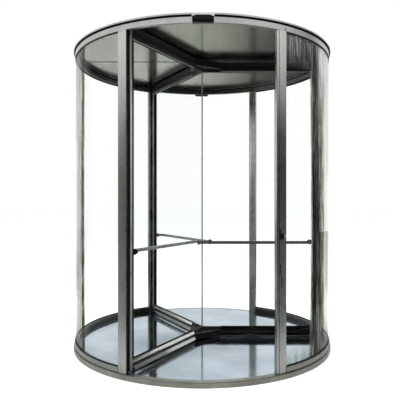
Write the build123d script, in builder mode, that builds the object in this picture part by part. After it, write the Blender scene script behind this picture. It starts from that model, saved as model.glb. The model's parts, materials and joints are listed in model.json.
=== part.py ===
from build123d import *
import os
from math import cos, degrees, radians, sin

# Three-wing, all-glass revolving door with two curved glass side walls.
# Frame: millimetres, +Z up, origin on the turning axis at the underside of the base,
# front opening towards -Y. The rotor turns about +Z.

os.makedirs("parts", exist_ok=True)

# ---------------------------------------------------------------- driving sizes
outer_radius = 1250.0           # cap lip and base ring
total_height = 2814.0
running_clearance = 5.0         # between the rotor and anything fixed
seat_gap = 0.3                  # between a piece and the seat that holds it

# base
floor_level = 44.0
floor_plate_thickness = 12.0
base_ring_edge = 5.0
floor_disc_inset = 5.5          # floor disc edge inside the drum's inner face

# curved side walls; the glass is the line that rails, posts and fascia are set out from
wall_glass_inset = 20.0         # glass face inside the outer radius
wall_glass_thickness = 12.0
wall_inner_cover = 16.0         # metal inside the glass
wall_seat_height = 6.0
wall_seat_inset = 3.0
wall_rail_height = 41.0
wall_rail_cover = 11.0          # metal outside the glass
wall_rail_edge = 3.0
wall_glass_bite = 27.0          # depth of glass held in the bottom rail
wall_glass_top_bite = 20.0      # depth of glass held in the fascia
wall_bead_height = 10.0
wall_bead_width = 5.0
wall_top_bead_height = 12.0

# posts, angles measured from the middle of an opening
post_start_angle = 28.3         # posts with a stepped nose
flush_post_start_angle = 28.8   # posts without one
post_end_angle = 32.6
post_cover = 6.0                # metal outside the glass
post_nose_width = 22.0
post_nose_step = 3.0
post_groove_width = 2.0
post_groove_depth = 5.0
post_glass_bite = 14.0
post_edge_round = 1.2
post_seal_depth = 6.0
flush_post_seal_depth = 30.0
post_seal_width = 5.0

# canopy
cap_height = 16.0
cap_edge = 4.0
cap_ledge_width = 12.0
cap_ledge_thickness = 4.7
shadow_gap_height = 12.0
shadow_gap_depth = 10.0
fascia_height = 43.0
fascia_cover = 7.0              # metal outside the glass
fascia_joint_width = 1.2
fascia_joint_depth = 2.0
ceiling_thickness = 6.0
roof_thickness = 5.0
ceiling_joint_width = 24.0

# presence sensors over both openings
sensor_width = 163.0
sensor_height = 53.0
sensor_depth = 44.0
sensor_drop = 12.0              # below the underside of the fascia
sensor_corner = 12.0
sensor_shoulder_width = 28.0
sensor_shoulder_height = 11.0
sensor_lens_slope = 16.0
sensor_offset = 7.0             # from the middle of the opening
bracket_drop = 26.0             # below the cap
bracket_rise = 12.0             # up the face of the cap
bracket_thickness = 4.0         # in front of the cap
bracket_overhang = 3.0

# lock furniture on the right front post
lock_slot_height = 88.0
lock_slot_width = 10.0
lock_slot_angle = 29.8
lock_slot_z = 1138.0
lock_body_height = 40.0
lock_body_width = 20.0
lock_body_round = 2.0
lock_body_angle = 30.8
lock_body_z = 1123.0
lock_body_stand = 5.0
lock_cylinder_diameter = 11.0
lock_cylinder_angle = 31.95
lock_cylinder_stand = 7.0
lock_ring_diameter = 22.0
lock_ring_stand = 4.0
guide_slot_height = 90.0
guide_slot_width = 8.0
upper_guide_angle = 29.95
upper_guide_z = 858.0
lower_guide_angle = 30.5
lower_guide_z = 763.0
lock_pocket_depth = 3.0
keyway_width = 2.4
keyway_height = 8.0
keyway_depth = 3.0

# bearings on the axis
bearing_flange_diameter = 130.0
bearing_flange_thickness = 5.0
bearing_pin_diameter = 40.0
bearing_pin_length = 36.0
bearing_fit = 0.05

# wings
wing_angles = {"right_wing": 0.0, "back_left_wing": 120.0, "front_left_wing": 240.0}
wing_glass_thickness = 10.0
wing_glass_start = 7.0
wing_glass_bite = 12.0          # depth of glass held in the stile
stile_depth = 27.0
stile_thickness = 40.0
stile_edge = 3.0
stile_end_gap = 1.0             # set back from the brush ends
seal_carrier_depth = 6.0
seal_carrier_thickness = 38.0
brush_reach = 15.0              # bristles beyond the seal carrier
brush_thickness = 10.0
brush_bite = 5.0
gasket_width = 34.0
gasket_line = 4.0
gasket_thickness = 4.0

# rail section, from its outer edge inwards; widths are across the wing
rail_start = 184.0
rail_skirt_width = 76.0
rail_skirt_top_width = 60.0
rail_skirt_height = 26.0
rail_band_width = 54.0
rail_band_height = 18.0
rail_rib_depth = 1.5
rail_rib_count = 3
rail_groove_width = 40.0
rail_groove_height = 8.0
rail_shoulder_width = 48.0
rail_step_height = 3.0
rail_bead_height = 22.0
rail_neck_width = 24.0
rail_neck_height = 4.0
top_rail_extra = 10.0           # taller skirt of the top rail
rail_brush_thickness = 16.0
rail_brush_bite = 9.0

# push bars
bar_diameter = 30.0
bar_height = 944.0              # above the walking floor
bar_offset = 70.0               # from the middle of the wing glass
bar_setback = 69.0              # fixing inside the stile
bar_elbow_radius = 32.0
bar_flange_diameter = 50.0
bar_flange_thickness = 6.0
bar_bolt_diameter = 15.4
bar_cap_diameter = 32.0
bar_cap_thickness = 7.0

# ---------------------------------------------------------------- derived sizes
wall_glass_outer = outer_radius - wall_glass_inset
wall_glass_inner = wall_glass_outer - wall_glass_thickness
wall_slot_outer = wall_glass_outer + seat_gap
wall_slot_inner = wall_glass_inner - seat_gap
drum_inner_radius = wall_glass_inner - wall_inner_cover
floor_disc_radius = drum_inner_radius - floor_disc_inset
wall_rail_outer = wall_glass_outer + wall_rail_cover
post_outer_radius = wall_glass_outer + post_cover
fascia_outer_radius = wall_glass_outer + fascia_cover
roof_radius = drum_inner_radius - seat_gap

cap_bottom = total_height - cap_height
fascia_top = cap_bottom - shadow_gap_height
fascia_bottom = fascia_top - fascia_height
ceiling_top = total_height - roof_thickness
ceiling_bottom = ceiling_top - ceiling_thickness
wall_rail_bottom = floor_level + wall_seat_height
wall_rail_top = wall_rail_bottom + wall_rail_height
wall_glass_bottom = wall_rail_top - wall_glass_bite
wall_glass_top = fascia_bottom + wall_glass_top_bite
sensor_bottom = fascia_bottom - sensor_drop

rotor_bottom = floor_level + running_clearance
rotor_top = cap_bottom - running_clearance
rotor_radius = drum_inner_radius - running_clearance
skirt_total = rail_skirt_height + rail_band_height + rail_groove_height + rail_step_height
rail_height = skirt_total + rail_bead_height + rail_neck_height
rail_bottom = rotor_bottom + running_clearance
rail_top = rail_bottom + rail_height
top_rail_top = rotor_top - running_clearance
top_rail_bottom = top_rail_top - rail_height - top_rail_extra
glass_bottom = rail_bottom + skirt_total + seat_gap
glass_top = top_rail_top - top_rail_extra - skirt_total - seat_gap
glass_half = wing_glass_thickness / 2
glass_slot_width = wing_glass_thickness + 2 * seat_gap
seal_outer_radius = rotor_radius - brush_reach
stile_outer_radius = seal_outer_radius - seal_carrier_depth
stile_inner_radius = stile_outer_radius - stile_depth
stile_length = rotor_top - rotor_bottom - 2 * stile_end_gap
wing_glass_end = stile_inner_radius + wing_glass_bite
rail_length = stile_inner_radius - rail_start - 2 * seat_gap
bar_z = floor_level + bar_height
bar_outer_radius = stile_inner_radius - bar_setback
floor_pin_top = floor_level + bearing_flange_thickness + bearing_pin_length
ceiling_pin_bottom = ceiling_bottom - bearing_flange_thickness - bearing_pin_length
wing_spacing = 360 / len(wing_angles)


def direction(angle):
    """Unit vector in plan at an angle in degrees."""
    return Vector(cos(radians(angle)), sin(radians(angle)), 0)


def radial_plane(angle):
    """Upright plane through the axis: local x runs outwards, local y upwards."""
    return Plane(origin=(0, 0, 0), x_dir=direction(angle), z_dir=direction(angle - 90))


def rail_plane(angle, radius):
    """Upright plane across a wing: local x is the wing's thickness, local y is height."""
    return Plane(origin=direction(angle) * radius, x_dir=direction(angle + 90), z_dir=direction(angle))


def wing_plane(angle, height):
    """Level plane at a height: local x runs out along the wing."""
    return Plane(origin=(0, 0, height), x_dir=direction(angle), z_dir=(0, 0, 1))


def arc_angle(length, radius):
    """Angle in degrees that a length takes up on a radius."""
    return degrees(length / radius)


def annular_sector(inner, outer, start, sweep, mode=Mode.ADD):
    """Face between two radii and two angles, for an open BuildSketch."""
    with BuildLine() as outline:
        outer_arc = CenterArc((0, 0), outer, start, sweep)
        inner_arc = CenterArc((0, 0), inner, start, sweep)
        Line(outer_arc @ 0, inner_arc @ 0)
        Line(outer_arc @ 1, inner_arc @ 1)
    make_face(outline.edges(), mode=mode)


def turned(points, start=0.0, sweep=360.0):
    """Solid of revolution about the axis from a closed profile of radius and height."""
    with BuildPart() as body:
        with BuildSketch(radial_plane(start)):
            with BuildLine():
                Polyline(*points, close=True)
            make_face()
        revolve(axis=Axis.Z, revolution_arc=sweep)
    return body.part


def ring_box(inner, outer, bottom, top, start=0.0, sweep=360.0):
    """Ring or ring segment of rectangular section."""
    return turned([(inner, bottom), (outer, bottom), (outer, top), (inner, top)], start, sweep)


def save(part, name):
    part.label = name
    export_step(part, f"parts/{name}.step")


# ---------------------------------------------------------------- base
with BuildPart() as base_ring:
    add(turned([
        (floor_disc_radius + seat_gap, 0),
        (outer_radius, 0),
        (outer_radius, floor_level - base_ring_edge),
        (outer_radius - base_ring_edge, floor_level),
        (floor_disc_radius + seat_gap, floor_level),
    ]))
save(base_ring.part, "base_ring")

with BuildPart() as floor_pan:
    with BuildSketch():
        Circle(floor_disc_radius)
    extrude(amount=floor_level - floor_plate_thickness)
save(floor_pan.part, "floor_pan")

with BuildPart() as floor_plate:
    with BuildSketch(Plane.XY.offset(floor_level - floor_plate_thickness)):
        Circle(floor_disc_radius)
    extrude(amount=floor_plate_thickness)
save(floor_plate.part, "floor_plate")

# ---------------------------------------------------------------- posts
slot_angle = arc_angle(post_glass_bite, wall_glass_outer)
seal_angle = arc_angle(post_seal_width, drum_inner_radius)


def lock_plane(angle):
    """Plane on the main face of the right front post, local y upwards."""
    outward = direction(angle - 90)
    return Plane(origin=outward * post_outer_radius, x_dir=direction(angle), z_dir=outward)


def slot_plate(angle, height, width, length, depth, grow=0.0, mode=Mode.ADD):
    """Upright slot-ended plate sunk into the post's main face."""
    with BuildSketch(lock_plane(angle)) as plate:
        with Locations((0, height)):
            SlotOverall(length + 2 * grow, width + 2 * grow, rotation=90)
    extrude(plate.sketch, amount=-depth, mode=mode)


def post(start, nose_width, seal_depth):
    """Post to the right of the front opening, from its opening face to the end of the wall."""
    nose_end = start + arc_angle(nose_width, post_outer_radius)
    nose_radius = post_outer_radius - post_nose_step
    with BuildPart() as body:
        with BuildSketch(Plane.XY.offset(floor_level)):
            annular_sector(
                drum_inner_radius,
                post_outer_radius,
                nose_end - 90,
                post_end_angle - nose_end,
            )
            if nose_width:
                annular_sector(drum_inner_radius, nose_radius, start - 90, nose_end - start)
                annular_sector(
                    nose_radius - post_groove_depth,
                    post_outer_radius + post_groove_depth,
                    nose_end - 90,
                    arc_angle(post_groove_width, post_outer_radius),
                    mode=Mode.SUBTRACT,
                )
            annular_sector(
                wall_slot_inner,
                wall_slot_outer,
                post_end_angle - slot_angle - 90,
                slot_angle,
                mode=Mode.SUBTRACT,
            )
            annular_sector(
                drum_inner_radius - seal_depth,
                drum_inner_radius + seal_depth,
                start - seal_angle - 90,
                2 * seal_angle,
                mode=Mode.SUBTRACT,
            )
        extrude(amount=fascia_bottom - floor_level)
        outer_corner = direction(start - 90) * post_outer_radius
        outer_edge = body.edges().filter_by(Axis.Z).sort_by_distance(outer_corner)[0]
        fillet(outer_edge, radius=post_edge_round)
    return body.part


nosed_post = post(post_start_angle, post_nose_width, post_seal_depth)
flush_post = post(flush_post_start_angle, 0, flush_post_seal_depth)

slots = [
    (lock_slot_angle, lock_slot_z, lock_slot_width, lock_slot_height),
    (upper_guide_angle, upper_guide_z, guide_slot_width, guide_slot_height),
    (lower_guide_angle, lower_guide_z, guide_slot_width, guide_slot_height),
]

with BuildPart() as post_front_right:
    add(nosed_post)
    for angle, height, width, length in slots:
        slot_plate(angle, height, width, length, lock_pocket_depth, seat_gap, Mode.SUBTRACT)
save(post_front_right.part, "post_front_right")

with BuildPart() as post_back_left:
    add(nosed_post, rotation=(0, 0, 180))
save(post_back_left.part, "post_back_left")

with BuildPart() as post_back_right:
    add(flush_post)
    mirror(about=Plane.XZ, mode=Mode.REPLACE)
save(post_back_right.part, "post_back_right")

with BuildPart() as post_front_left:
    add(flush_post)
    mirror(about=Plane.YZ, mode=Mode.REPLACE)
save(post_front_left.part, "post_front_left")

with BuildPart() as lock_fittings:
    for angle, height, width, length in slots:
        slot_plate(angle, height, width, length, lock_pocket_depth - seat_gap)
    with BuildSketch(lock_plane(lock_body_angle).offset(seat_gap)):
        with Locations((0, lock_body_z)):
            RectangleRounded(lock_body_width, lock_body_height, lock_body_round)
    extrude(amount=lock_body_stand)
    with BuildSketch(lock_plane(lock_cylinder_angle).offset(seat_gap)):
        with Locations((0, lock_body_z)):
            Circle(lock_cylinder_diameter / 2)
    extrude(amount=lock_cylinder_stand)
    with BuildSketch(lock_plane(lock_cylinder_angle).offset(seat_gap + lock_cylinder_stand)):
        with Locations((0, lock_body_z)):
            Rectangle(keyway_width, keyway_height)
    extrude(amount=-keyway_depth, mode=Mode.SUBTRACT)
save(lock_fittings.part, "lock_fittings")

with BuildPart() as lock_ring:
    with BuildSketch(lock_plane(lock_cylinder_angle).offset(seat_gap)):
        with Locations((0, lock_body_z)):
            Circle(lock_ring_diameter / 2)
            Circle(lock_cylinder_diameter / 2 + seat_gap, mode=Mode.SUBTRACT)
    extrude(amount=lock_ring_stand)
save(lock_ring.part, "lock_ring")

# ---------------------------------------------------------------- curved side walls
# Plan angles run from the end of the front post to the end of the back post.
wall_starts = {"right": post_end_angle - 90, "left": 90 + post_end_angle}
wall_sweep = 180 - 2 * post_end_angle
wall_gap_angle = arc_angle(seat_gap, drum_inner_radius)
glass_bite_angle = arc_angle(post_glass_bite - seat_gap, wall_glass_outer)

for side, wall_start in wall_starts.items():
    wall_end = wall_start + wall_sweep
    rail_from = wall_start + wall_gap_angle
    rail_sweep = wall_sweep - 2 * wall_gap_angle

    with BuildPart() as wall_rail:
        add(turned([
            (drum_inner_radius, wall_rail_bottom),
            (wall_rail_outer, wall_rail_bottom),
            (wall_rail_outer, wall_rail_top - wall_rail_edge),
            (wall_rail_outer - wall_rail_edge, wall_rail_top),
            (wall_slot_outer, wall_rail_top),
            (wall_slot_outer, wall_glass_bottom - seat_gap),
            (wall_slot_inner, wall_glass_bottom - seat_gap),
            (wall_slot_inner, wall_rail_top),
            (drum_inner_radius, wall_rail_top),
        ], rail_from, rail_sweep))
    save(wall_rail.part, f"wall_rail_{side}")

    with BuildPart() as wall_glass:
        add(ring_box(
            wall_glass_inner,
            wall_glass_outer,
            wall_glass_bottom,
            wall_glass_top,
            wall_start - glass_bite_angle,
            wall_sweep + 2 * glass_bite_angle,
        ))
    save(wall_glass.part, f"wall_glass_{side}")

    # Seat strip under the rail, glazing beads against the glass, and the seal strips of two posts.
    with BuildPart() as wall_gasket:
        add(ring_box(
            drum_inner_radius + wall_seat_inset,
            wall_rail_outer - wall_seat_inset,
            floor_level,
            wall_rail_bottom,
            rail_from,
            rail_sweep,
        ))
        for bottom, height in (
            (wall_rail_top, wall_bead_height),
            (fascia_bottom - wall_top_bead_height, wall_top_bead_height),
        ):
            add(ring_box(
                wall_slot_outer,
                wall_slot_outer + wall_bead_width,
                bottom,
                bottom + height,
                rail_from,
                rail_sweep,
            ))
        for seal_start, seal_sweep, seal_depth in (
            (wall_start - post_end_angle + post_start_angle, 1, post_seal_depth),
            (wall_end + post_end_angle - flush_post_start_angle, -1, flush_post_seal_depth),
        ):
            with BuildSketch(Plane.XY.offset(floor_level)):
                annular_sector(
                    drum_inner_radius,
                    drum_inner_radius + seal_depth - seat_gap,
                    seal_start,
                    seal_sweep * arc_angle(post_seal_width - seat_gap, drum_inner_radius),
                )
            extrude(amount=fascia_bottom - floor_level)
    save(wall_gasket.part, f"wall_gasket_{side}")

# ---------------------------------------------------------------- canopy
with BuildPart() as fascia_ring:
    add(ring_box(drum_inner_radius, fascia_outer_radius, fascia_bottom, fascia_top))
    for wall_start in wall_starts.values():
        add(ring_box(
            wall_slot_inner,
            wall_slot_outer,
            fascia_bottom,
            wall_glass_top + seat_gap,
            wall_start - slot_angle,
            wall_sweep + 2 * slot_angle,
        ), mode=Mode.SUBTRACT)
        for joint_angle in (wall_start, wall_start + wall_sweep):
            with BuildSketch(Plane.XY.offset(fascia_bottom)):
                annular_sector(
                    fascia_outer_radius - fascia_joint_depth,
                    fascia_outer_radius + fascia_joint_depth,
                    joint_angle,
                    arc_angle(fascia_joint_width, fascia_outer_radius),
                )
            extrude(amount=fascia_height, mode=Mode.SUBTRACT)
save(fascia_ring.part, "fascia_ring")

with BuildPart() as shadow_gap_ring:
    add(ring_box(drum_inner_radius, fascia_outer_radius - shadow_gap_depth, fascia_top, cap_bottom))
save(shadow_gap_ring.part, "shadow_gap_ring")

with BuildPart() as cap_ring:
    add(turned([
        (drum_inner_radius - cap_ledge_width, cap_bottom),
        (outer_radius, cap_bottom),
        (outer_radius, total_height - cap_edge),
        (outer_radius - cap_edge, total_height),
        (drum_inner_radius, total_height),
        (drum_inner_radius, cap_bottom + cap_ledge_thickness),
        (drum_inner_radius - cap_ledge_width, cap_bottom + cap_ledge_thickness),
    ]))
save(cap_ring.part, "cap_ring")

with BuildPart() as ceiling_panels:
    with BuildSketch(Plane.XY.offset(ceiling_bottom)):
        Circle(roof_radius)
        Rectangle(2 * outer_radius, ceiling_joint_width, mode=Mode.SUBTRACT)
    extrude(amount=ceiling_thickness)
save(ceiling_panels.part, "ceiling_panels")

with BuildPart() as ceiling_joint_strip:
    with BuildSketch(Plane.XY.offset(ceiling_bottom)):
        Circle(roof_radius)
        Rectangle(2 * outer_radius, ceiling_joint_width - 2 * seat_gap, mode=Mode.INTERSECT)
    extrude(amount=ceiling_thickness)
save(ceiling_joint_strip.part, "ceiling_joint_strip")

with BuildPart() as roof_cover:
    with BuildSketch(Plane.XY.offset(ceiling_top)):
        Circle(roof_radius)
    extrude(amount=roof_thickness)
save(roof_cover.part, "roof_cover")

# ---------------------------------------------------------------- presence sensors
bracket_face = outer_radius + bracket_thickness
sensor_face = fascia_outer_radius + sensor_depth
sensor_top = sensor_bottom + sensor_height
bracket_height = bracket_drop + bracket_rise
sensor_middle = Plane(origin=(sensor_offset, 0, 0), x_dir=(1, 0, 0), z_dir=(0, -1, 0))

with BuildPart() as front_bracket:
    with BuildSketch(sensor_middle):
        with Locations((0, cap_bottom - bracket_drop + bracket_height / 2)):
            Rectangle(sensor_width + 2 * bracket_overhang, bracket_height)
    extrude(amount=bracket_face)
    Cylinder(fascia_outer_radius + seat_gap, 2 * total_height + sensor_height, mode=Mode.SUBTRACT)
    with BuildSketch(Plane.XY.offset(cap_bottom - seat_gap)):
        Circle(outer_radius + seat_gap)
    extrude(amount=bracket_height, mode=Mode.SUBTRACT)

with BuildPart() as front_sensor:
    with BuildSketch(sensor_middle):
        with BuildLine():
            FilletPolyline(
                (-sensor_width / 2, sensor_top - sensor_shoulder_height),
                (-sensor_width / 2, sensor_bottom),
                (sensor_width / 2, sensor_bottom),
                (sensor_width / 2, sensor_top - sensor_shoulder_height),
                radius=sensor_corner,
            )
            Polyline(
                (sensor_width / 2, sensor_top - sensor_shoulder_height),
                (sensor_width / 2 - sensor_shoulder_width, sensor_top),
                (-sensor_width / 2 + sensor_shoulder_width, sensor_top),
                (-sensor_width / 2, sensor_top - sensor_shoulder_height),
            )
        make_face()
    extrude(amount=sensor_face)
    with BuildSketch(Plane.YZ):
        with BuildLine():
            Polyline(
                (-sensor_face, sensor_bottom),
                (-sensor_face + sensor_lens_slope / 2, sensor_bottom),
                (-sensor_face, sensor_bottom + sensor_lens_slope),
                close=True,
            )
        make_face()
    extrude(amount=sensor_width, both=True, mode=Mode.SUBTRACT)
    Cylinder(fascia_outer_radius + seat_gap, 2 * total_height + sensor_height, mode=Mode.SUBTRACT)
    add(front_bracket.part, mode=Mode.SUBTRACT)
save(front_sensor.part, "sensor_front")

with BuildPart() as back_sensor:
    add(front_sensor.part, rotation=(0, 0, 180))
save(back_sensor.part, "sensor_back")

with BuildPart() as sensor_brackets:
    add(front_bracket.part)
    add(front_bracket.part, rotation=(0, 0, 180))
save(sensor_brackets.part, "sensor_brackets")

# ---------------------------------------------------------------- bearings
def bearing(base, rise, name):
    """Flange on the floor or the ceiling with the pin that the rotor turns on."""
    with BuildPart() as pivot:
        with BuildSketch(Plane.XY.offset(base)):
            Circle(bearing_flange_diameter / 2)
        extrude(amount=rise * bearing_flange_thickness)
        with BuildSketch(Plane.XY.offset(base + rise * bearing_flange_thickness)):
            Circle(bearing_pin_diameter / 2)
        extrude(amount=rise * bearing_pin_length)
    save(pivot.part, name)


bearing(floor_level, 1, "floor_bearing")
bearing(ceiling_bottom, -1, "ceiling_bearing")


# ---------------------------------------------------------------- rotor rails and hubs
def skirt_profile(extra):
    """Half width and height of the stepped skirt that rails and hubs share, from its outer edge."""
    skirt_top = rail_skirt_height + extra
    points = [(rail_skirt_width / 2, 0), (rail_skirt_top_width / 2, skirt_top)]
    rib = rail_band_height / (2 * rail_rib_count + 1)
    points.append((rail_band_width / 2, skirt_top))
    for index in range(rail_rib_count):
        level = skirt_top + rib * (2 * index + 1)
        points.append((rail_band_width / 2, level))
        points.append((rail_band_width / 2 - rail_rib_depth, level))
        points.append((rail_band_width / 2 - rail_rib_depth, level + rib))
        points.append((rail_band_width / 2, level + rib))
    band_top = skirt_top + rail_band_height
    groove_top = band_top + rail_groove_height
    points.append((rail_band_width / 2, band_top))
    points.append((rail_groove_width / 2, band_top))
    points.append((rail_groove_width / 2, groove_top))
    points.append((rail_shoulder_width / 2, groove_top))
    points.append((rail_shoulder_width / 2, groove_top + rail_step_height))
    return points


def clamp_profile(extra):
    """Half width and height of the part beyond the skirt, which grips the glass."""
    total = rail_height + extra
    return [
        (rail_shoulder_width / 2, skirt_total + extra),
        (rail_neck_width / 2, total - rail_neck_height),
        (rail_neck_width / 2, total),
    ]


def hub(base, rise, extra, pin_end, name):
    """Block where the rails meet: the skirt runs on across each corner between two wings,
    and a clamp for each wing's glass runs on to the centre."""
    overhang = rail_start
    half_spacing = radians(wing_spacing / 2)
    chord = [
        (rail_start * cos(half_spacing) + half * sin(half_spacing), base + rise * height)
        for half, height in skirt_profile(extra)
    ]
    outline = [(-overhang, chord[0][1]), *chord, (-overhang, chord[-1][1])]
    clamp = [(half, base + rise * height) for half, height in clamp_profile(extra)]
    clamp_mirror = [(-half, height) for half, height in reversed(clamp)]
    clamp_foot = base + rise * (skirt_total + extra)
    clamp_height = rail_height - skirt_total
    with BuildPart() as block:
        for index, angle in enumerate(wing_angles.values()):
            with BuildSketch(radial_plane(angle + wing_spacing / 2)):
                with BuildLine():
                    Polyline(*outline, close=True)
                make_face()
            extrude(
                amount=2 * rail_start,
                both=True,
                mode=Mode.INTERSECT if index else Mode.ADD,
            )
        for angle in wing_angles.values():
            with BuildSketch(rail_plane(angle, rail_start)):
                with Locations((0, base)):
                    Rectangle(4 * rail_start, 4 * rail_start)
            extrude(amount=rail_start, mode=Mode.SUBTRACT)
        for angle in wing_angles.values():
            with BuildSketch(rail_plane(angle, 0)):
                with BuildLine():
                    Polyline(*clamp, *clamp_mirror, close=True)
                make_face()
            extrude(amount=rail_start)
        for angle in wing_angles.values():
            with BuildSketch(rail_plane(angle, 0)):
                with Locations((0, clamp_foot + rise * clamp_height / 2)):
                    Rectangle(glass_slot_width, clamp_height)
            extrude(amount=rail_start, mode=Mode.SUBTRACT)
        with BuildSketch(Plane.XY.offset(clamp_foot)):
            Circle(wing_glass_start / cos(half_spacing / 2))
        extrude(amount=rise * clamp_height, mode=Mode.SUBTRACT)
        with BuildSketch(Plane.XY.offset(base)):
            Circle(bearing_pin_diameter / 2 + bearing_fit)
        extrude(amount=pin_end + rise * seat_gap - base, mode=Mode.SUBTRACT)
    save(block.part, name)


hub(rail_bottom, 1, 0, floor_pin_top, "hub_bottom")
hub(top_rail_top, -1, top_rail_extra, ceiling_pin_bottom, "hub_top")

with BuildPart() as centre_joint:
    with BuildSketch(Plane.XY.offset(glass_bottom)):
        RegularPolygon(
            wing_glass_start - seat_gap,
            2 * len(wing_angles),
            major_radius=False,
            rotation=wing_spacing / 4,
        )
    extrude(amount=glass_top - glass_bottom)
save(centre_joint.part, "centre_joint")


def rail(angle, base, rise, extra, name):
    """Stepped wing rail with its glass slot, brush slot and mitred outer corners."""
    total = rail_height + extra
    section = skirt_profile(extra) + clamp_profile(extra)[1:]
    right = [(half, base + rise * height) for half, height in section]
    left = [(-half, height) for half, height in reversed(right)]
    slot_depth = total - skirt_total - extra
    mitre = (rail_skirt_width - stile_thickness) / 2
    with BuildPart() as body:
        with BuildSketch(rail_plane(angle, rail_start + seat_gap)):
            with BuildLine():
                Polyline(*right, *left, close=True)
            make_face()
            with Locations((0, base + rise * (total - slot_depth / 2))):
                Rectangle(glass_slot_width, slot_depth, mode=Mode.SUBTRACT)
            with Locations((0, base + rise * rail_brush_bite / 2)):
                Rectangle(rail_brush_thickness + 2 * seat_gap, rail_brush_bite, mode=Mode.SUBTRACT)
        extrude(amount=rail_length)
        with BuildSketch(wing_plane(angle, min(base, base + rise * total))):
            for side in (1, -1):
                with BuildLine():
                    Polyline(
                        (stile_inner_radius, side * stile_thickness / 2),
                        (stile_inner_radius - mitre, side * rail_skirt_width / 2),
                        (stile_inner_radius, side * rail_skirt_width / 2),
                        close=True,
                    )
                make_face()
        extrude(amount=total, mode=Mode.SUBTRACT)
    save(body.part, name)


# ---------------------------------------------------------------- push bar
# Made once along +X on the clockwise face of a wing, then turned to each wing.
face_offset = glass_half + seat_gap
bar_face = direction(90 - wing_spacing)
bar_end = (face_offset - bar_offset * bar_face.dot(direction(-90))) / bar_face.dot(direction(0))
outer_mount = Plane(
    origin=(bar_outer_radius, -face_offset, bar_z),
    x_dir=direction(0),
    z_dir=direction(-90),
)
inner_mount = Plane(
    origin=(bar_end, -bar_offset, bar_z),
    x_dir=direction(-wing_spacing),
    z_dir=bar_face,
)

with BuildPart() as push_bar:
    with BuildLine(Plane.XY.offset(bar_z)) as route:
        FilletPolyline(
            (bar_outer_radius, -face_offset),
            (bar_outer_radius, -bar_offset),
            (bar_end - bar_diameter, -bar_offset),
            radius=bar_elbow_radius,
        )
    with BuildSketch(outer_mount):
        Circle(bar_diameter / 2)
    sweep(path=route.wires()[0])
    split(bisect_by=inner_mount, keep=Keep.TOP)
    with BuildSketch(outer_mount, inner_mount):
        Circle(bar_flange_diameter / 2)
    extrude(amount=bar_flange_thickness)
    with BuildSketch(outer_mount):
        Circle(bar_bolt_diameter / 2)
    extrude(amount=-2 * face_offset)
    with BuildSketch(outer_mount.offset(-2 * face_offset)):
        Circle(bar_cap_diameter / 2)
    extrude(amount=-bar_cap_thickness)

# ---------------------------------------------------------------- wings
for wing, angle in wing_angles.items():
    rail(angle, rail_bottom, 1, 0, f"{wing}_bottom_rail")
    rail(angle, top_rail_top, -1, top_rail_extra, f"{wing}_top_rail")

    bolt_plane = Plane(
        origin=direction(angle) * bar_outer_radius + Vector(0, 0, bar_z),
        x_dir=direction(angle),
        z_dir=direction(angle + 90),
    )
    with BuildPart() as glass:
        with BuildSketch(wing_plane(angle, glass_bottom)):
            with Locations(((wing_glass_start + wing_glass_end) / 2, 0)):
                Rectangle(wing_glass_end - wing_glass_start, wing_glass_thickness)
        extrude(amount=glass_top - glass_bottom)
        with BuildSketch(bolt_plane):
            Circle(bar_bolt_diameter / 2 + seat_gap)
        extrude(amount=glass_half, both=True, mode=Mode.SUBTRACT)
    save(glass.part, f"{wing}_glass")

    with BuildPart() as stile:
        with BuildSketch(wing_plane(angle, rotor_bottom + stile_end_gap)) as section:
            with Locations((stile_inner_radius + stile_depth / 2, 0)):
                Rectangle(stile_depth, stile_thickness)
            fillet(section.vertices(), radius=stile_edge)
            with Locations((stile_inner_radius + (wing_glass_bite + seat_gap) / 2, 0)):
                Rectangle(
                    wing_glass_bite + seat_gap,
                    glass_slot_width,
                    mode=Mode.SUBTRACT,
                )
        extrude(amount=stile_length)
    save(stile.part, f"{wing}_stile")

    with BuildPart() as wing_bar:
        add(push_bar.part, rotation=(0, 0, angle))
    save(wing_bar.part, f"{wing}_push_bar")

# ---------------------------------------------------------------- seals and gaskets
with BuildPart() as seal_carriers:
    for angle in wing_angles.values():
        with BuildSketch(wing_plane(angle, rotor_bottom + stile_end_gap)):
            with Locations((stile_outer_radius + seal_carrier_depth / 2, 0)):
                Rectangle(seal_carrier_depth, seal_carrier_thickness)
            with Locations((seal_outer_radius - brush_bite / 2, 0)):
                Rectangle(brush_bite, brush_thickness + 2 * seat_gap, mode=Mode.SUBTRACT)
        extrude(amount=stile_length)
save(seal_carriers.part, "seal_carriers")

edge_brush_start = seal_outer_radius - brush_bite + seat_gap
with BuildPart() as edge_brushes:
    for angle in wing_angles.values():
        with BuildSketch(wing_plane(angle, rotor_bottom)):
            with Locations(((edge_brush_start + rotor_radius) / 2, 0)):
                Rectangle(rotor_radius - edge_brush_start, brush_thickness)
        extrude(amount=rotor_top - rotor_bottom)
save(edge_brushes.part, "edge_brushes")

rail_brush_height = running_clearance + rail_brush_bite - seat_gap
with BuildPart() as rail_brushes:
    for angle in wing_angles.values():
        for bottom in (rotor_bottom, rotor_top - rail_brush_height):
            with BuildSketch(rail_plane(angle, rail_start + seat_gap)):
                with Locations((0, bottom + rail_brush_height / 2)):
                    Rectangle(rail_brush_thickness, rail_brush_height)
            extrude(amount=rail_length)
save(rail_brushes.part, "rail_brushes")

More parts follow.
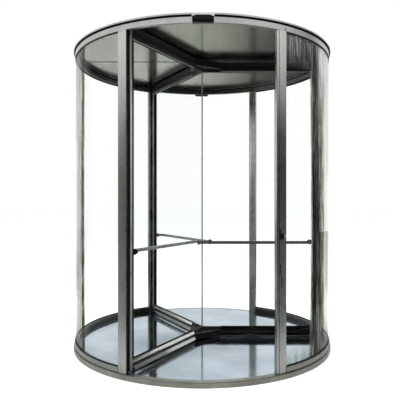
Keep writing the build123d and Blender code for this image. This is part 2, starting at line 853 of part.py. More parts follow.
gasket_bottom = rail_top + seat_gap
gasket_top = top_rail_bottom - seat_gap
gasket_end = stile_inner_radius - seat_gap
with BuildPart() as glazing_gaskets:
    for angle in wing_angles.values():
        for turn in (1, -1):
            with BuildSketch(radial_plane(angle).offset(turn * face_offset)):
                with BuildLine():
                    Polyline(
                        (rail_start, gasket_bottom),
                        (gasket_end, gasket_bottom),
                        (gasket_end, gasket_top),
                        (rail_start, gasket_top),
                        (rail_start, gasket_top - gasket_line),
                        (gasket_end - gasket_width, gasket_top - gasket_line),
                        (gasket_end - gasket_width, gasket_bottom + gasket_line),
                        (rail_start, gasket_bottom + gasket_line),
                        close=True,
                    )
                make_face()
            extrude(amount=turn * gasket_thickness)
save(glazing_gaskets.part, "glazing_gaskets")
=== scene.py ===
import json
from math import cos, pi, radians, sin
from random import Random

import bmesh
import bpy
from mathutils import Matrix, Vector


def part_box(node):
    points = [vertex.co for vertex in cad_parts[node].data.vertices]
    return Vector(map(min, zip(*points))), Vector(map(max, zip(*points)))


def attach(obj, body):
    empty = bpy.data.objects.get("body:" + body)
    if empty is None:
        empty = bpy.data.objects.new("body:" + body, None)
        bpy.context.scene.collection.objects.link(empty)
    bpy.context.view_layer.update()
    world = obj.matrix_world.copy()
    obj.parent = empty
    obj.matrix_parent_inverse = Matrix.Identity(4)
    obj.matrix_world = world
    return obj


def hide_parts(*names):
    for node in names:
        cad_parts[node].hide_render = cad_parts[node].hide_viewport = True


# Looks of a three-wing glass revolving door: metres, +Z up, turning axis on Z, front opening
# towards -Y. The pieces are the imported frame's own nodes with rounded edges and patterned
# materials, apart from the brushes, which are made here as rows of separate tufts.

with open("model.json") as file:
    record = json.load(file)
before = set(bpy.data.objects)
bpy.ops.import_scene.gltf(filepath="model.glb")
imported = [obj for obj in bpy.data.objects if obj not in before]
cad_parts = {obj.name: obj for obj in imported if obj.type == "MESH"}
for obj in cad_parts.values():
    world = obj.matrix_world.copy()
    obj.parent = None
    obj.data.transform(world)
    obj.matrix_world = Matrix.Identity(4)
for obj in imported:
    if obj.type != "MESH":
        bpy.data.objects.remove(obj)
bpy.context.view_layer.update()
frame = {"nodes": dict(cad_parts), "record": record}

NODES = frame["nodes"]
BODY_OF = {
    node: body
    for body, nodes in frame["record"]["behaviour"]["bodies"].items()
    for node in nodes
}
WING_ANGLES = {"right_wing": 0.0, "back_left_wing": 120.0, "front_left_wing": 240.0}
UP = Vector((0, 0, 1))
MATERIALS = {}                  # filled by the functions that make them


# ------------------------------------------------------------------ node helpers
def plug(tree, socket, value):
    """Link a socket, or set its value. A colour is given as red, green and blue."""
    if isinstance(value, bpy.types.NodeSocket):
        tree.links.new(value, socket)
    elif socket.type == "RGBA":
        socket.default_value = (*value, 1.0)
    else:
        socket.default_value = value


def add_node(tree, kind, inputs=None, **settings):
    made = tree.nodes.new("ShaderNode" + kind)
    for name, value in settings.items():
        setattr(made, name, value)
    for name, value in (inputs or {}).items():
        plug(tree, made.inputs[name], value)
    return made


def maths(tree, operation, first, second=0.0, clamp=False):
    inputs = {0: first, 1: second}
    return add_node(tree, "Math", inputs, operation=operation, use_clamp=clamp).outputs[0]


def multiply(tree, first, *others):
    for value in others:
        first = maths(tree, "MULTIPLY", first, value)
    return first


def add(tree, first, *others):
    for value in others:
        first = maths(tree, "ADD", first, value)
    return first


def ramp(tree, value, low, high, start=0.0, end=1.0):
    """Smooth change from start to end while a value goes from low to high."""
    inputs = {"Value": value, "From Min": low, "From Max": high, "To Min": start, "To Max": end}
    return add_node(tree, "MapRange", inputs, interpolation_type="SMOOTHSTEP").outputs["Result"]


def ramp_straight(tree, value, low, high):
    """Share of the way that a value has gone from low to high."""
    inputs = {"Value": value, "From Min": low, "From Max": high}
    return add_node(tree, "MapRange", inputs).outputs["Result"]


def band(tree, value, low, low_full, high_full, high):
    """1 between two values, with a soft fall to 0 on either side."""
    return multiply(tree, ramp(tree, value, low, low_full), ramp(tree, value, high, high_full))


def blend(tree, factor, first, second, blend_type="MIX"):
    """Mix of two colours."""
    mixer = add_node(tree, "Mix", data_type="RGBA", blend_type=blend_type)
    plug(tree, mixer.inputs[0], factor)
    plug(tree, mixer.inputs[6], first)
    plug(tree, mixer.inputs[7], second)
    return mixer.outputs[2]


def mix_shaders(tree, factor, first, second):
    return add_node(tree, "MixShader", {0: factor, 1: first, 2: second}).outputs[0]


def noise(tree, vector, scale, detail=4.0, roughness=0.5):
    """Noise from 0 to 1, with its scale in waves per metre."""
    inputs = {"Vector": vector, "Scale": scale, "Detail": detail, "Roughness": roughness}
    return add_node(tree, "TexNoise", inputs).outputs["Fac"]


def colour_ramp(tree, value, stops):
    """Colour that follows a value through a list of positions and colours."""
    node = add_node(tree, "ValToRGB", {0: value})
    elements = node.color_ramp.elements
    while len(elements) < len(stops):
        elements.new(0.5)
    for element, (position, colour) in zip(elements, stops):
        element.position = position
        element.color = (*colour, 1.0)
    return node.outputs["Color"]


def object_space(tree):
    return add_node(tree, "TexCoord").outputs["Object"]


def drawn_out(tree, vector, scale):
    """Coordinates in which a pattern is drawn out along the axes with a scale below 1."""
    return add_node(tree, "Mapping", {"Vector": vector, "Scale": scale}).outputs[0]


def split(tree, vector):
    return add_node(tree, "SeparateXYZ", {0: vector}).outputs


def axis_distance(tree, place):
    """Distance from the turning axis."""
    flat = add_node(tree, "VectorMath", {0: place, 1: (1, 1, 0)}, operation="MULTIPLY").outputs[0]
    return add_node(tree, "VectorMath", {0: flat}, operation="LENGTH").outputs["Value"]


EDGE_COSINES = (0.995, 0.86)    # of the turn at which an edge begins to take its pale wear and painted highlight, and takes it whole
GRAIN_STRETCH = 0.006           # scale of a metal's grain along its run
RING_GRAIN_STRETCH = 0.01       # the same round the axis, where the angle stands in for the length


def grain_space(tree, run):
    """Coordinates drawn out along a piece's length: "upright", "ring", or a wing's angle in degrees."""
    place = object_space(tree)
    if run == "ring":
        parts = split(tree, place)
        turn = maths(tree, "ARCTAN2", parts["Y"], parts["X"])
        turn = multiply(tree, turn, RING_GRAIN_STRETCH)
        inputs = {0: axis_distance(tree, place), 1: turn, 2: parts["Z"]}
        return add_node(tree, "CombineXYZ", inputs).outputs[0]
    if run == "upright":
        return drawn_out(tree, place, (1, 1, GRAIN_STRETCH))
    turned = {"Vector": place, "Rotation": (0, 0, radians(-run))}
    along = add_node(tree, "Mapping", turned).outputs[0]
    return drawn_out(tree, along, (GRAIN_STRETCH, 1, 1))


def edge_mask(tree, reach):
    """1 on edges and corners, 0 on open faces: where pale wear and a painted highlight go."""
    rounded = add_node(tree, "Bevel", {"Radius": reach}, samples=6).outputs[0]
    true_normal = add_node(tree, "NewGeometry").outputs["Normal"]
    match = add_node(tree, "VectorMath", {0: rounded, 1: true_normal}, operation="DOT_PRODUCT")
    return ramp(tree, match.outputs["Value"], *EDGE_COSINES)


def start_material(name, **constants):
    """New material with its Principled shader's unvarying values set, kept under its name."""
    MATERIALS[name] = bpy.data.materials.new(name)
    MATERIALS[name].use_nodes = True
    tree = MATERIALS[name].node_tree
    shader = tree.nodes["Principled BSDF"]
    for socket, value in constants.items():
        plug(tree, shader.inputs[socket.replace("_", " ")], value)
    return tree, shader


def empty_tree(owner):
    """A material's or a world's nodes, cleared."""
    owner.use_nodes = True
    owner.node_tree.nodes.clear()
    return owner.node_tree


def finish_bump(tree, shader, height, strength, distance):
    """Relief on a material from a pattern's height."""
    inputs = {"Height": height, "Strength": strength, "Distance": distance}
    plug(tree, shader.inputs["Normal"], add_node(tree, "Bump", inputs).outputs[0])


# ------------------------------------------------------------------ materials
GRIME_TOP = 0.16                # height to which splashed grime reaches
GRIME = (0.10, 0.085, 0.065)


def metal(name, colour, run, roughness=0.34, grain=0.10, stain=0.10, wear_and_highlight=0.5, dirt=0.0):
    """Extruded metal: die lines along the piece, cloudy tone, pale edges that are partly wear and partly
    a painted highlight, grime near the floor.
    """
    tree, shader = start_material(name, Metallic=1.0)
    space = grain_space(tree, run)
    place = object_space(tree)
    lines = noise(tree, space, 700.0, 3.0, 0.6)
    broad_lines = noise(tree, space, 90.0, 3.0, 0.6)
    clouds = noise(tree, place, 3.2, 6.0, 0.62)
    specks = noise(tree, place, 260.0, 2.0, 0.7)

    tone = multiply(
        tree,
        ramp(tree, lines, 0.3, 0.7, 1 - grain, 1 + grain),
        ramp(tree, broad_lines, 0.25, 0.75, 1 - grain / 2, 1 + grain / 2),
        ramp(tree, clouds, 0.32, 0.68, 1 - stain, 1 + stain),
    )
    grey = add_node(tree, "CombineColor", {0: tone, 1: tone, 2: tone}).outputs[0]
    toned = blend(tree, 1.0, colour, grey, "MULTIPLY")
    if dirt:
        ragged = ramp(tree, noise(tree, place, 9.0, 6.0, 0.7), 0.3, 0.7, -0.05, 0.05)
        splash = add(tree, split(tree, place)["Z"], ragged)
        toned = blend(tree, multiply(tree, ramp(tree, splash, GRIME_TOP, 0.0), dirt), toned, GRIME)
    patchy = ramp(tree, noise(tree, place, 46.0, 5.0, 0.6), 0.35, 0.6, 0.25, 1.0)
    # pale edges: partly wear, partly a painted highlight in place of the light that rounded edges catch
    worn_and_highlit = multiply(tree, edge_mask(tree, 0.0016), wear_and_highlight, patchy)
    pale = tuple(min(0.85, part * 1.3 + 0.05) for part in colour)
    plug(tree, shader.inputs["Base Color"], blend(tree, worn_and_highlit, toned, pale))

    lined = ramp(tree, lines, 0.3, 0.7, roughness - 0.05, roughness + 0.06)
    clouded = ramp(tree, clouds, 0.35, 0.65, -0.03, 0.05)
    plug(tree, shader.inputs["Roughness"], maths(tree, "ADD", lined, clouded, clamp=True))
    finish_bump(tree, shader, add(tree, lines, multiply(tree, specks, 0.25)), 0.10, 0.0004)


def rubber():
    """Black seal profile with a grey bloom, and pale edges that are partly rubbed wear and partly a
    painted highlight.
    """
    tree, shader = start_material("black_rubber", Metallic=0.0, Specular_IOR_Level=0.12)
    place = object_space(tree)
    fine = noise(tree, place, 900.0, 2.0, 0.6)
    bloom = ramp(tree, noise(tree, place, 12.0, 6.0, 0.65), 0.48, 0.80, 0.0, 0.25)
    colour = blend(tree, bloom, (0.006, 0.006, 0.0065), (0.03, 0.031, 0.029))
    # pale edges: partly rubbed wear, partly a painted highlight
    rubbed_and_highlit = multiply(tree, edge_mask(tree, 0.0012), 0.15)
    plug(tree, shader.inputs["Base Color"], blend(tree, rubbed_and_highlit, colour, (0.08, 0.08, 0.078)))
    plug(tree, shader.inputs["Roughness"], ramp(tree, fine, 0.3, 0.7, 0.42, 0.62))
    finish_bump(tree, shader, fine, 0.25, 0.0004)


def bristle():
    """Dark brush pile with dust between its tufts."""
    tree, shader = start_material("brush_pile", Metallic=0.0, Specular_IOR_Level=0.1)
    place = object_space(tree)
    tufts = noise(tree, place, 480.0, 3.0, 0.7)
    dust = ramp(tree, noise(tree, place, 20.0, 5.0, 0.7), 0.5, 0.8, 0, 0.25)
    colour = blend(tree, tufts, (0.004, 0.004, 0.0045), (0.018, 0.018, 0.017))
    plug(tree, shader.inputs["Base Color"], blend(tree, dust, colour, (0.07, 0.066, 0.056)))
    plug(tree, shader.inputs["Roughness"], ramp(tree, tufts, 0.2, 0.8, 0.6, 0.9))
    finish_bump(tree, shader, tufts, 0.6, 0.0008)


def painted(name, colour, roughness, peel=0.12, wear_and_highlight=0.4, metallic=0.0, gloss=0.5, cloud=0.25):
    """Coated or moulded piece: slight orange peel, cloudy tone, and pale edges that are partly rubbed
    wear and partly a painted highlight.
    """
    tree, shader = start_material(name, Metallic=metallic, Specular_IOR_Level=gloss)
    place = object_space(tree)
    fine = noise(tree, place, 520.0, 3.0, 0.55)
    clouds = noise(tree, place, 7.0, 6.0, 0.6)
    darker = tuple(part * (1 - cloud) for part in colour)
    lighter = tuple(min(1.0, part * (1 + cloud)) for part in colour)
    toned = blend(tree, ramp(tree, clouds, 0.3, 0.7), darker, lighter)
    pale = tuple(min(1.0, part * 1.8 + 0.05) for part in colour)
    # pale edges: partly rubbed wear, partly a painted highlight
    worn_and_highlit = multiply(tree, edge_mask(tree, 0.0014), wear_and_highlight)
    plug(tree, shader.inputs["Base Color"], blend(tree, worn_and_highlit, toned, pale))
    rough = ramp(tree, clouds, 0.3, 0.7, roughness - 0.04, roughness + 0.07)
    plug(tree, shader.inputs["Roughness"], rough)
    finish_bump(tree, shader, fine, peel, 0.0004)


def mirror_floor():
    """Polished floor: fine lines across the way in, light scuffs and a faint haze of dust."""
    tree, shader = start_material("polished_floor", Metallic=1.0)
    place = object_space(tree)
    lines = noise(tree, drawn_out(tree, place, (0.02, 1, 1)), 130.0, 3.0, 0.7)
    waves = noise(tree, place, 2.2, 3.0, 0.5)
    scuffs = noise(tree, place, 16.0, 8.0, 0.75)
    colour = blend(tree, ramp(tree, waves, 0.3, 0.7), (0.36, 0.435, 0.505), (0.52, 0.605, 0.69))
    colour = blend(tree, ramp(tree, lines, 0.35, 0.75, 0.0, 0.30), colour, (0.34, 0.41, 0.47))
    colour = blend(tree, ramp(tree, scuffs, 0.60, 0.78, 0.0, 0.35), colour, (0.76, 0.79, 0.81))
    plug(tree, shader.inputs["Base Color"], colour)
    scuffed = ramp(tree, scuffs, 0.35, 0.8, 0.04, 0.13)
    lined = ramp(tree, lines, 0.3, 0.7, 0.0, 0.04)
    plug(tree, shader.inputs["Roughness"], add(tree, scuffed, lined))
    finish_bump(tree, shader, add(tree, lines, multiply(tree, waves, 2.0)), 0.10, 0.0008)


CEILING_SEAL = 0.017            # half width of the dark sealed joint between the ceiling panels


def mirror_ceiling():
    """Glossy coated ceiling panels with slow waves, as sheet metal has, and a sealed joint."""
    tree, shader = start_material("gloss_ceiling", Metallic=1.0)
    place = object_space(tree)
    waves = noise(tree, place, 1.7, 3.0, 0.5)
    fine = noise(tree, place, 380.0, 3.0, 0.6)
    smears = noise(tree, drawn_out(tree, place, (1, 0.25, 1)), 8.0, 6.0, 0.7)
    colour = blend(tree, ramp(tree, waves, 0.3, 0.7), (0.212, 0.222, 0.178), (0.248, 0.254, 0.200))
    colour = blend(tree, ramp(tree, smears, 0.35, 0.75, 0.0, 0.3), colour, (0.138, 0.146, 0.115))
    off_joint = maths(tree, "ABSOLUTE", split(tree, place)["Y"])
    sealed = ramp(tree, off_joint, CEILING_SEAL, CEILING_SEAL * 0.8)
    colour = blend(tree, sealed, colour, (0.012, 0.012, 0.011))
    plug(tree, shader.inputs["Base Color"], colour)
    plug(tree, shader.inputs["Roughness"], ramp(tree, smears, 0.3, 0.75, 0.15, 0.24))
    relief = add(tree, multiply(tree, waves, 3.0), multiply(tree, fine, 0.3))
    finish_bump(tree, shader, relief, 0.05, 0.0008)


# A slant is 0 for a pane seen square on and nears 1 for one seen along its face.
CLEAR = (0.998, 0.9995, 0.9985)
PANE_GLOSS = 0.45               # mirror strength of a pane seen along its face
FAINT_GLOSS = 0.020             # weaker mirror images are left out: they only add grain
FRONT_HALF = (0.25, -0.15)     # y at which the marks and painted reflection of the front half begin and are whole
DUST = (0.66, 0.68, 0.65)
DUST_COVER = 0.12
FOOT_REFLECTION = (0.52, 0.58, 0.50)
FOOT_REFLECTION_HEIGHTS = (0.25, 0.10)     # where the painted reflection at the foot begins, from above, and is whole
FOOT_REFLECTION_SLANTS = (0.14, 0.34)
TOP_HEIGHTS = (2.45, 2.55)      # shiny run marks under the top edge
TOP_SLANTS = (0.22, 0.36)
TOP_SHARE = 0.6
PLAIN_SHARE = 0.12              # shine between the marks
SIDE_SLANTS = (0.520, 0.530, 0.72, 0.735)   # band of shiny run marks down the pane's side
RIM_HEIGHTS = (2.1, 2.7)        # plain shine beyond that band, high up
RIM_SLANTS = (0.60, 0.69)


def painted_foot_reflection(tree, height, slant, front_half, streaked, strength):
    """Cover of the painted reflection at the foot of a pane: a darker, greener, streaked veil."""
    low = ramp(tree, height, *FOOT_REFLECTION_HEIGHTS, 0.0, strength)
    cover = multiply(tree, low, ramp(tree, slant, *FOOT_REFLECTION_SLANTS), front_half)
    return maths(tree, "MULTIPLY", cover, ramp(tree, streaked, 0.42, 0.58, 0.35, 1.25), clamp=True)


def run_sheen(tree, height, slant, front_half, runs, fine_runs, strength):
    """Mirror strength of the shiny run marks on a pane."""
    shiny = multiply(tree, ramp(tree, fine_runs, 0.46, 0.64), ramp(tree, runs, 0.38, 0.58))
    under_top = multiply(
        tree,
        ramp(tree, height, *TOP_HEIGHTS, 0.0, TOP_SHARE),
        ramp(tree, slant, *TOP_SLANTS),
        front_half,
    )
    marked = maths(tree, "ADD", under_top, band(tree, slant, *SIDE_SLANTS), clamp=True)
    rim = multiply(tree, ramp(tree, height, *RIM_HEIGHTS), ramp(tree, slant, *RIM_SLANTS), strength)
    shiny = add(tree, shiny, PLAIN_SHARE)
    return add(tree, multiply(tree, shiny, multiply(tree, marked, strength)), rim)


def clear_glass(name, tints_and_reflections, streaks, sheen=0.0, foot_reflection=0.0):
    """Clear pane: its tint follows the slant at which it is seen, with dust and run marks on its face;
    the wall panes' dark streaked bands at the sides are painted reflections.
    Sheen is the strength of the shiny run marks, and the last argument that of the painted reflection at
    the foot."""
    tree, shader = start_material(name, Metallic=1.0, IOR=1.5, Roughness=0.02)
    place = object_space(tree)
    down = drawn_out(tree, place, (1, 1, 0.06))
    runs = noise(tree, down, 24.0, 3.0, 0.7)
    fine_runs = noise(tree, down, 75.0, 2.0, 0.6)
    streaked = multiply(tree, add(tree, runs, fine_runs), 0.5)
    patches = noise(tree, place, 3.0, 5.0, 0.6)
    slant = add_node(tree, "LayerWeight", {"Blend": 0.5}).outputs["Facing"]
    parts = split(tree, place)
    height = parts["Z"]
    front_half = ramp(tree, parts["Y"], *FRONT_HALF)
    dust = multiply(
        tree,
        ramp(tree, runs, 0.44, 0.64),
        ramp(tree, patches, 0.35, 0.65),
        DUST_COVER,
        ramp(tree, slant, 0.45, 0.75),
    )

    waver = ramp(tree, runs, 0.3, 0.7, -0.004, 0.004)
    # tint by slant; on the wall panes its dark streaked bands are painted reflections
    tint_and_reflection = colour_ramp(tree, maths(tree, "ADD", slant, waver, clamp=True), tints_and_reflections)
    depth = ramp(tree, streaked, 0.42, 0.58, 1.0 + streaks, 1.0 - 0.8 * streaks)
    tint_and_reflection = add_node(tree, "Gamma", {"Color": tint_and_reflection, "Gamma": depth}).outputs[0]
    # painted reflection at the foot: a darker, greener, streaked veil
    if foot_reflection:
        cover = painted_foot_reflection(tree, height, slant, front_half, streaked, foot_reflection)
        tint_and_reflection = blend(tree, cover, tint_and_reflection, FOOT_REFLECTION)
    through = add_node(tree, "BsdfTransparent", {"Color": blend(tree, dust, tint_and_reflection, DUST)}).outputs[0]
    plug(tree, shader.inputs["Base Color"], blend(tree, dust, (0.90, 0.94, 0.92), (0.6, 0.62, 0.6)))

    gloss = multiply(tree, maths(tree, "POWER", slant, 5.0), PANE_GLOSS)
    gloss = maths(tree, "SUBTRACT", gloss, FAINT_GLOSS, clamp=True)
    if sheen:
        marks = run_sheen(tree, height, slant, front_half, runs, fine_runs, sheen)
        gloss = maths(tree, "ADD", gloss, marks, clamp=True)
    mixed = mix_shaders(tree, gloss, through, shader.outputs[0])
    plug(tree, tree.nodes["Material Output"].inputs["Surface"], mixed)
    finish_bump(tree, shader, patches, 0.02, 0.002)


# Tones of the satin metal on the rings, posts, rails and stiles. The right wing's bottom rail takes a
# painted shade, much darker than the others.
SATIN = (0.47, 0.478, 0.46)
POST_SATIN = (0.54, 0.548, 0.525)
WING_SATIN = (0.60, 0.61, 0.585)
STILE_SATIN = (0.76, 0.77, 0.74)
SHADED_SATIN = (0.08, 0.083, 0.08)
# Tints by slant. The dark streaked bands at the wall glass's sides are painted reflections of the
# surroundings.
RIGHT_WALL_TINTS_AND_REFLECTIONS = [
    (0.0, CLEAR),
    (0.520, CLEAR),
    (0.530, (0.57, 0.59, 0.53)),
    (0.66, (0.58, 0.60, 0.53)),
    (0.745, (0.65, 0.66, 0.59)),
    (0.76, (0.93, 0.93, 0.91)),
    (0.87, (0.975, 0.98, 0.965)),
]
LEFT_WALL_TINTS_AND_REFLECTIONS = [
    (0.0, CLEAR),
    (0.678, CLEAR),
    (0.686, (0.36, 0.37, 0.31)),
    (0.712, (0.38, 0.39, 0.34)),
    (0.722, (0.84, 0.845, 0.82)),
    (0.86, (0.87, 0.875, 0.86)),
]
WING_TINTS = [
    (0.0, CLEAR),
    (0.72, (0.985, 0.995, 0.99)),
    (0.92, (0.62, 0.70, 0.67)),
    (1.0, (0.30, 0.40, 0.37)),
]
metal("satin_upright", POST_SATIN, "upright", roughness=0.27, stain=0.05, dirt=0.3)
metal("satin_ring", SATIN, "ring", roughness=0.29)
metal("rail_ring", (0.30, 0.305, 0.285), "ring", roughness=0.30)
metal("stile_metal", STILE_SATIN, "upright", roughness=0.30, dirt=0.25)
metal("base_metal", (0.48, 0.475, 0.435), "ring", 0.40, grain=0.14, stain=0.22, wear_and_highlight=0.6, dirt=0.35)
metal("bar_steel", (0.24, 0.245, 0.24), "upright", 0.26, grain=0.07, stain=0.08, wear_and_highlight=0.3)
# painted shade: the upright ribbed band of the bottom rails, much darker than their sloped faces
metal("rail_band", (0.11, 0.112, 0.107), "ring", roughness=0.3)
# shaded copies of the satin metal: painted shade for faces that look down or inward
metal("shaded_metal", (0.24, 0.247, 0.225), "upright", grain=0.5, stain=0.2)
metal("shaded_rail", (0.12, 0.125, 0.115), "upright", grain=0.5, stain=0.2)
painted("ring_steel", (0.50, 0.50, 0.485), 0.3, peel=0.08, wear_and_highlight=0.3)
# black metal for the black pieces, also the painted shade under the cap ring
painted("black_metal", (0.006, 0.006, 0.006), 0.5, wear_and_highlight=0.1, gloss=0.15)
# the hubs' black, also the painted shade in the bottom rails' groove
painted("hub_black_and_groove_shade", (0.006, 0.0062, 0.006), 0.4, peel=0.1, wear_and_highlight=0.08, gloss=0.2)
# painted shade: the top rails' satin metal drawn near black
painted("top_rail_shade", (0.008, 0.0085, 0.008), 0.36, peel=0.1, wear_and_highlight=0.08, gloss=0.3)
painted("sensor_plastic", (0.004, 0.004, 0.0045), 0.3, peel=0.05, wear_and_highlight=0.06, gloss=0.12)
painted("lock_black", (0.003, 0.003, 0.0032), 0.55, peel=0.05, wear_and_highlight=0.05, gloss=0.04)
painted("grey_metal", (0.33, 0.335, 0.33), 0.5, peel=0.3, metallic=0.6, cloud=0.07)
painted("joint_grey", (0.20, 0.21, 0.205), 0.35, peel=0.1, wear_and_highlight=0.2)
painted("bracket_metal", (0.62, 0.63, 0.63), 0.4, peel=0.1, wear_and_highlight=0.3)
clear_glass("wall_glass_right", RIGHT_WALL_TINTS_AND_REFLECTIONS, 1.2, sheen=0.35, foot_reflection=0.5)
clear_glass("wall_glass_left", LEFT_WALL_TINTS_AND_REFLECTIONS, 1.25, foot_reflection=0.15)
clear_glass("wing_glass", WING_TINTS, 0.3)
rubber()
bristle()
mirror_floor()
mirror_ceiling()
# The right wing's bottom rail takes SHADED_SATIN, a painted shade; the others take plain satin.
for wing, angle in WING_ANGLES.items():
    tone = SHADED_SATIN if wing == "right_wing" else WING_SATIN
    metal(f"satin_{wing}", tone, angle, roughness=0.11, grain=0.08, stain=0.08)


# ------------------------------------------------------------------ pieces
WELD = 1e-5                     # points of a node's mesh closer than this are one point
FLAT_ANGLE = radians(0.3)       # faces that meet at less are one face
SHARP_ANGLE = radians(28)       # edges that turn more are kept sharp and rounded off
FINE_EDGE = 0.0006              # widths of the rounded edges
EDGE = 0.0008
SLACK = 1e-4                    # for sizes read back from a mesh


def mesh_from(built, name):
    """Mesh data from a finished bmesh, which is freed."""
    mesh = bpy.data.meshes.new(name)
    built.to_mesh(mesh)
    built.free()
    return mesh


def new_piece(name, mesh, materials, node):
    """Object from a mesh that rides on a CAD node's body and takes that node's place."""
    for material in materials:
        mesh.materials.append(MATERIALS[material])
    piece = bpy.data.objects.new(name, mesh)
    bpy.context.scene.collection.objects.link(piece)
    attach(piece, BODY_OF[node])
    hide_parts(node)
    return piece


def dressed(node, material, width=0.0, segments=2, accents=(), reshape=None):
    """Copy of a CAD piece with rounded edges and smooth curved faces, in place of the plain one.
    Each accent is a material and a function that picks its faces, and reshape moves the points."""
    built = bmesh.new()
    built.from_mesh(NODES[node].data)
    bmesh.ops.remove_doubles(built, verts=built.verts, dist=WELD)
    bmesh.ops.dissolve_limit(built, angle_limit=FLAT_ANGLE, verts=built.verts, edges=built.edges)
    if reshape:
        for point in built.verts:
            reshape(point)
    for face in built.faces:
        face.smooth = True
        face.material_index = 0
        for index, (_, picks) in enumerate(accents, 1):
            if picks(face):
                face.material_index = index
    mesh = mesh_from(built, node)
    mesh.set_sharp_from_angle(angle=SHARP_ANGLE)
    materials = [material] + [accent for accent, _ in accents]
    piece = new_piece(f"{node}_dressed", mesh, materials, node)
    if width:
        bevel = piece.modifiers.new("rounded_edges", "BEVEL")
        bevel.width = width
        bevel.segments = segments
        bevel.limit_method = "ANGLE"
        bevel.angle_limit = SHARP_ANGLE
        bevel.harden_normals = True
        bevel.use_clamp_overlap = True


def assign(node, material):
    """Better material on a CAD piece whose shape is right."""
    for slot in NODES[node].material_slots:
        slot.material = MATERIALS[material]


# ------------------------------------------------------------------ picked faces
# Bands of the stepped section that the wing rails and the hubs share, as the CAD has them.
RAIL_RIBS = (0.0262, 0.0438)    # up from a bottom rail's underside, without the ledges at its ends
RAIL_GROOVE = (0.0436, 0.0524)  # the same way, with both ledges
RAIL_NECK = (-0.0004, 0.0044)   # up from a top rail's underside
BOTTOM_STEP = (0.052, 0.055)    # up from the bottom hub's underside
TOP_STEP = (0.062, 0.065)       # down from the top hub's top
BAR_CAP_START = 1.078           # distance from the axis at which a push bar's wall end begins
# Half widths of a bottom rail in the CAD, and as drawn here.
RIB_FLOOR_HALF = 0.0255
BAND_HALF = 0.0270
SKIRT_TOP_HALF = 0.0300
DRAWN_BAND_HALF = 0.0252
DRAWN_SKIRT_HALF = 0.0255
SKIRT_LEVEL = 0.075             # height above which the skirt's top and the band stand


def within(low, high):
    """Picks faces whose middle lies between two heights."""
    return lambda face: low < face.calc_center_median().z < high


def upright(picks):
    """Picks those of the faces that don't look up or down."""
    return lambda face: picks(face) and abs(face.normal.z) < 0.5


def above_base(node, levels):
    """Picks faces in a band of heights counted up from a node's underside."""
    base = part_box(node)[0][2]
    return within(base + levels[0], base + levels[1])


def below_top(node, levels):
    """Picks faces in a band of heights counted down from a node's top."""
    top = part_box(node)[1][2]
    return within(top - levels[1], top - levels[0])


def beyond(distance):
    """Picks faces farther than a distance from the axis."""
    return lambda face: face.calc_center_median().xy.length > distance


def looks_down(face):
    return face.normal.z < -0.9


def looks_inward(face):
    """True for faces that look towards the axis."""
    middle = face.calc_center_median()
    return face.normal.dot(Vector((middle.x, middle.y, 0)).normalized()) < -0.5


def steeper_skirt(angle):
    """Draws in the top of a bottom rail's skirt and the band above it, so that the skirt slopes more."""
    side = Vector((-sin(radians(angle)), cos(radians(angle)), 0))

    def move(point):
        across = point.co.dot(side)
        half = abs(across)
        if point.co.z > SKIRT_LEVEL and half > RIB_FLOOR_HALF + SLACK:
            in_band = half < (BAND_HALF + SKIRT_TOP_HALF) / 2
            wanted = DRAWN_BAND_HALF if in_band else DRAWN_SKIRT_HALF
            point.co += side * (wanted - half) * (1 if across > 0 else -1)

    return move


# ------------------------------------------------------------------ brushes
TUFT_PITCH = 0.004              # from tuft to tuft along a strip
TUFT_ROW_HALF = 0.0025          # half thickness of a strip that each row of tufts takes
TUFT_HALF = 0.0017
TUFT_FILL = 0.8                 # share of its row's thickness that a tuft takes
TUFT_LEAN = 0.0008
TUFT_SHORTER = 0.12             # share of its free length by which a tuft may fall short
TUFT_TIP = 0.35                 # share of its thickness that a tuft keeps at its tip
TUFT_ROOT = 0.97                # where a tuft begins, as a share of the bound core's depth
EDGE_BRUSH_HALF = 0.005         # half thickness
EDGE_BRUSH_FREE = 0.0085        # from the tips to where the bristles are bound together
RAIL_BRUSH_HALF = 0.008
RAIL_BRUSH_FREE = 0.0045
RAIL_BRUSH_HEIGHT = 0.0137


def add_block(built, foot, tip, along, across, taper):
    """Closed tapered block between two centres, from its half sides."""
    corners = ((-1, -1), (1, -1), (1, 1), (-1, 1))
    low, high = (
        [built.verts.new(centre + (along * a + across * b) * share) for a, b in corners]
        for centre, share in ((foot, 1.0), (tip, taper))
    )
    built.faces.new(low[::-1])
    built.faces.new(high)
    for index in range(4):
        after = (index + 1) % 4
        built.faces.new((low[index], low[after], high[after], high[index]))


def add_brush(built, start, end, reach, free, across, chance):
    """Strip of bristles from start to end: a bound core, then tufts that lean a little."""
    run = end - start
    length = run.length
    along = run / length
    middle = (start + end) / 2
    free_share = free / reach.length
    root = reach * (1 - free_share)
    add_block(built, middle, middle + root, run / 2, across, 1.0)
    rows = max(2, round(across.length / TUFT_ROW_HALF))
    count = int(length / TUFT_PITCH)
    for index in range(count):
        for row in range(rows):
            place = start + along * (index + 0.5) * length / count
            place += across * ((2 * row + 1) / rows - 1)
            lean = along * chance.uniform(-TUFT_LEAN, TUFT_LEAN)
            tip = place + reach * (1 - chance.uniform(0, TUFT_SHORTER) * free_share) + lean
            thickness = across * (TUFT_FILL / rows)
            add_block(built, place + root * TUFT_ROOT, tip, along * TUFT_HALF, thickness, TUFT_TIP)


def strip_ends(node, half):
    """Inner and outer distance from the axis of a strip on the right wing, which lies along X."""
    spots = [v.co.x for v in NODES[node].data.vertices if v.co.x > 0 and abs(v.co.y) < half + SLACK]
    return min(spots), max(spots)


def wing_directions():
    """For each wing, the direction along it and the one across it."""
    for angle in WING_ANGLES.values():
        turn = radians(angle)
        yield Vector((cos(turn), sin(turn), 0)), Vector((-sin(turn), cos(turn), 0))


def finish_brushes(built, node, name):
    bmesh.ops.recalc_face_normals(built, faces=built.faces)
    new_piece(name, mesh_from(built, name), ["brush_pile"], node)


